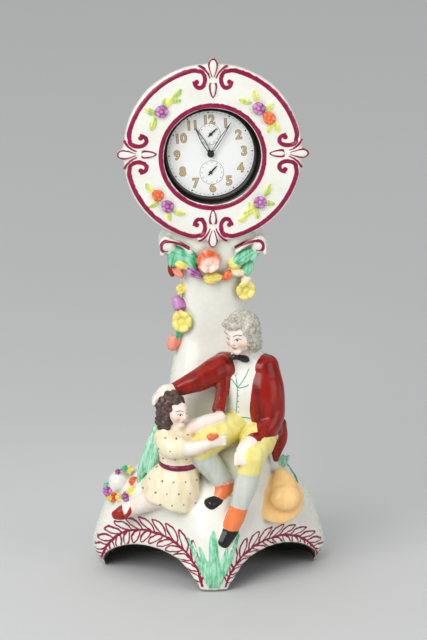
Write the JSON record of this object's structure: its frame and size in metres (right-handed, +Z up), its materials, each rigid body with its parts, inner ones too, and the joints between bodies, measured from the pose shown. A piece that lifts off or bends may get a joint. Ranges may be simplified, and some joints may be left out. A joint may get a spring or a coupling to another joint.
{
  "type": "figural watch stand",
  "caption": "Glazed ceramic stand with a seated man and kneeling girl under a pillar whose round plate holds a pocket watch.",
  "frame": {"origin": "on the floor under the middle of the base", "axes": "+Z up along the pillar, -Y towards the front with the figures and the dial, +X to the viewer's right"},
  "size_m": [0.1282, 0.0801, 0.2808],
  "materials": {
    "glazed_stand": "glossy clear glaze over painted colours",
    "case_metal": "dark gunmetal",
    "dial_enamel": "white enamel",
    "crystal": "clear polished",
    "hand_steel": "blackened"
  },
  "bodies": {
    "stand_and_watch": {"watch_stand": "glazed_stand", "watch_case": "case_metal", "watch_dial": "dial_enamel", "watch_crystal": "crystal"},
    "minute": {"minute_hand": "hand_steel"},
    "hour": {"hour_hand": "hand_steel"},
    "alarm": {"alarm_hand": "hand_steel"},
    "seconds": {"seconds_hand": "hand_steel"}
  },
  "joints": [
    {"name": "minute_hand_turn", "type": "hinge", "parent": "stand_and_watch", "child": "minute", "pos_m": [0.00053, 0.0066, 0.22913], "axis": [0, 1, 0], "continuous": true},
    {"name": "hour_hand_turn", "type": "hinge", "parent": "stand_and_watch", "child": "hour", "pos_m": [0.00053, 0.0074, 0.22913], "axis": [0, 1, 0], "continuous": true},
    {"name": "alarm_hand_turn", "type": "hinge", "parent": "stand_and_watch", "child": "alarm", "pos_m": [0.00053, 0.0082, 0.23953], "axis": [0, 1, 0], "continuous": true},
    {"name": "seconds_hand_turn", "type": "hinge", "parent": "stand_and_watch", "child": "seconds", "pos_m": [0.00053, 0.0082, 0.21893], "axis": [0, 1, 0], "continuous": true}
  ],
  "couplings": [
    {"joint": "hour_hand_turn", "follows": "minute_hand_turn", "ratio": 0.083333}
  ]
}
